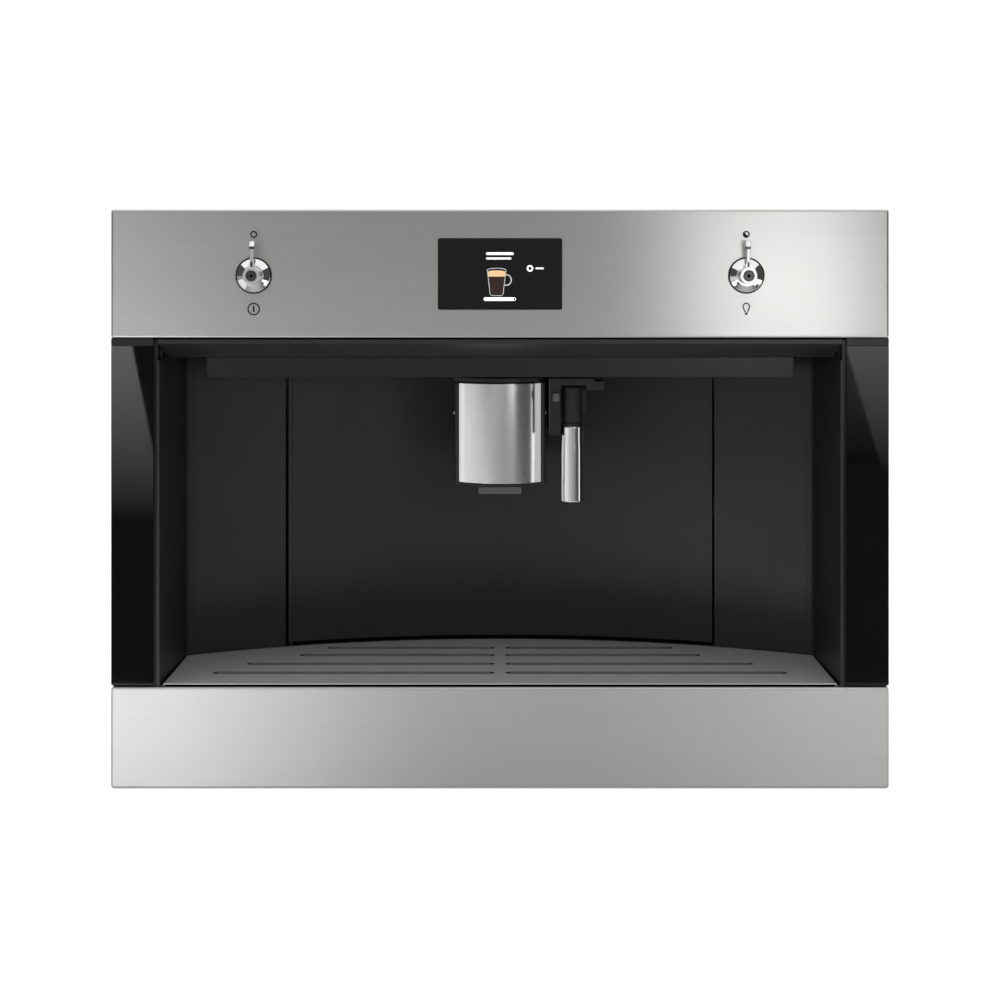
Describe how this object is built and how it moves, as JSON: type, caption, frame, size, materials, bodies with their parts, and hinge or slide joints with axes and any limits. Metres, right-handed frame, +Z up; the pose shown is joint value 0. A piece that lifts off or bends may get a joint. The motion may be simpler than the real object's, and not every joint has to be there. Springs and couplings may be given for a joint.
{
  "type": "built-in coffee machine",
  "caption": "Built-in coffee machine: stainless front with lever knobs and display, dark cup recess, height-set spout on a swing-out door, drip tray, pull-out body on rails.",
  "frame": {"origin": "bottom centre of the whole, on the cabinet floor under the base pan", "axes": "+X to the machine's right as seen from the front, +Y to the back, +Z up"},
  "size_m": [0.597, 0.412, 0.445],
  "materials": {
    "brushed_steel": "stainless sheet, brushed across",
    "chrome": "bright chrome plate",
    "galvanised": "zinc-coated sheet, dull",
    "rail_steel": "rolled steel, satin",
    "black_glass": "black glass, polished",
    "black_satin": "black, satin",
    "black_moulded": "black moulding, fine grain",
    "smoked": "smoked clear plastic",
    "clear_tank": "clear plastic, slightly blue",
    "lens": "frosted lamp lens",
    "cast_aluminium": "cast, matt",
    "white_plastic": "white moulding",
    "brass": "machined",
    "board": "circuit board with its parts"
  },
  "bodies": {
    "base": {"base_pan": "galvanised"},
    "middle_rails": {"middle_rail_left": "rail_steel", "middle_rail_right": "rail_steel"},
    "machine": {"upper_fascia": "brushed_steel", "lower_fascia": "brushed_steel", "knob_disc_left": "chrome", "knob_disc_right": "chrome", "floor_pan": "galvanised", "side_panel_left": "galvanised", "side_panel_right": "galvanised", "rear_panel": "galvanised", "top_panel": "galvanised", "front_frame": "galvanised", "inner_frame": "galvanised", "door_hinge_rod": "rail_steel", "column_glass_left": "black_glass", "column_glass_right": "black_glass", "display_glass": "black_glass", "column_left": "black_satin", "column_right": "black_satin", "recess_lining_left": "black_satin", "recess_lining_right": "black_satin", "recess_visor": "black_satin", "lamp_housing": "black_satin", "door_catch": "black_moulded", "cavity_floor": "black_moulded", "grounds_container": "black_moulded", "mains_inlet": "black_moulded", "bean_hopper": "smoked", "lamp_lens_left": "lens", "lamp_lens_right": "lens", "grinder": "cast_aluminium", "brew_motor": "cast_aluminium", "boiler": "cast_aluminium", "pump": "cast_aluminium", "tank_valve": "white_plastic", "brew_frame": "white_plastic", "control_board": "board", "power_board": "board"},
    "service_door": {"service_door": "black_satin", "door_liner": "black_moulded", "spout_guide": "black_satin", "water_connector": "black_satin"},
    "coffee_spout": {"spout_body": "black_moulded", "spout_shell": "brushed_steel"},
    "hot_water_outlet": {"water_sleeve": "black_moulded", "water_tube": "brushed_steel"},
    "release_button": {"release_button": "black_moulded"},
    "left_knob_shaft": {"knob_shaft_left": "rail_steel"},
    "left_knob": {"knob_lever_left": "chrome"},
    "right_knob_shaft": {"knob_shaft_right": "rail_steel"},
    "right_knob": {"knob_lever_right": "chrome"},
    "drip_tray": {"drip_bowl": "black_moulded", "cup_plate": "brushed_steel"},
    "water_tank": {"water_tank": "clear_tank", "tank_lid": "black_moulded"},
    "hopper_lid": {"hopper_lid": "black_satin"},
    "brew_chamber": {"brew_chamber": "black_moulded"},
    "brew_spindle": {"brew_spindle": "brass"},
    "motor_pinion": {"motor_pinion": "brass"}
  },
  "joints": [
    {"name": "machine_pull_out", "type": "slide", "parent": "base", "child": "machine", "axis": [0, -1, 0], "range_m": [0, 0.3]},
    {"name": "middle_rail_travel", "type": "slide", "parent": "base", "child": "middle_rails", "axis": [0, -1, 0], "range_m": [0, 0.15]},
    {"name": "door_swing", "type": "hinge", "parent": "machine", "child": "service_door", "pos_m": [-0.1763, -0.04051, 0.2], "axis": [0, 0, -1], "range_deg": [0, 85]},
    {"name": "spout_height", "type": "slide", "parent": "service_door", "child": "coffee_spout", "axis": [0, 0, 1], "range_m": [-0.05, 0]},
    {"name": "hot_water_outlet_pull", "type": "slide", "parent": "service_door", "child": "hot_water_outlet", "axis": [0, -1, 0], "range_m": [0, 0.02]},
    {"name": "release_button_press", "type": "slide", "parent": "service_door", "child": "release_button", "axis": [0, 1, 0], "range_m": [0, 0.0015], "stiffness_N_per_m": 400},
    {"name": "left_knob_turn", "type": "hinge", "parent": "machine", "child": "left_knob_shaft", "pos_m": [-0.189, -0.189, 0.3944], "axis": [0, -1, 0], "range_deg": [-25, 25], "stiffness_Nm_per_rad": 0.05},
    {"name": "left_knob_press", "type": "slide", "parent": "left_knob_shaft", "child": "left_knob", "axis": [0, 1, 0], "range_m": [0, 0.002], "stiffness_N_per_m": 600},
    {"name": "right_knob_turn", "type": "hinge", "parent": "machine", "child": "right_knob_shaft", "pos_m": [0.189, -0.189, 0.3944], "axis": [0, -1, 0], "range_deg": [-25, 25], "stiffness_Nm_per_rad": 0.05},
    {"name": "right_knob_press", "type": "slide", "parent": "right_knob_shaft", "child": "right_knob", "axis": [0, 1, 0], "range_m": [0, 0.002], "stiffness_N_per_m": 600},
    {"name": "drip_tray_slide", "type": "slide", "parent": "machine", "child": "drip_tray", "axis": [0, 0.8192, -0.5736], "range_m": [-0.2, 0]},
    {"name": "water_tank_slide", "type": "slide", "parent": "machine", "child": "water_tank", "axis": [1, 0, 0], "range_m": [0, 0.09]},
    {"name": "hopper_lid_hinge", "type": "hinge", "parent": "machine", "child": "hopper_lid", "pos_m": [0, 0.163, 0.4404], "axis": [-1, 0, 0], "range_deg": [0, 100]},
    {"name": "spindle_turn", "type": "hinge", "parent": "machine", "child": "brew_spindle", "pos_m": [0.01, 0.111, 0.16], "axis": [0, 0, 1], "range_deg": [0, 720]},
    {"name": "chamber_lift", "type": "slide", "parent": "machine", "child": "brew_chamber", "axis": [0, 0, 1], "range_m": [0, 0.048]},
    {"name": "pinion_turn", "type": "hinge", "parent": "machine", "child": "motor_pinion", "pos_m": [0.01, 0.138, 0.24], "axis": [0, 0, 1], "range_deg": [-2057.2, 0]}
  ],
  "couplings": [
    {"joint": "middle_rail_travel", "follows": "machine_pull_out", "ratio": 0.5},
    {"joint": "chamber_lift", "follows": "spindle_turn", "m_per_rad": 0.0038197},
    {"joint": "pinion_turn", "follows": "spindle_turn", "ratio": -2.8571}
  ]
}
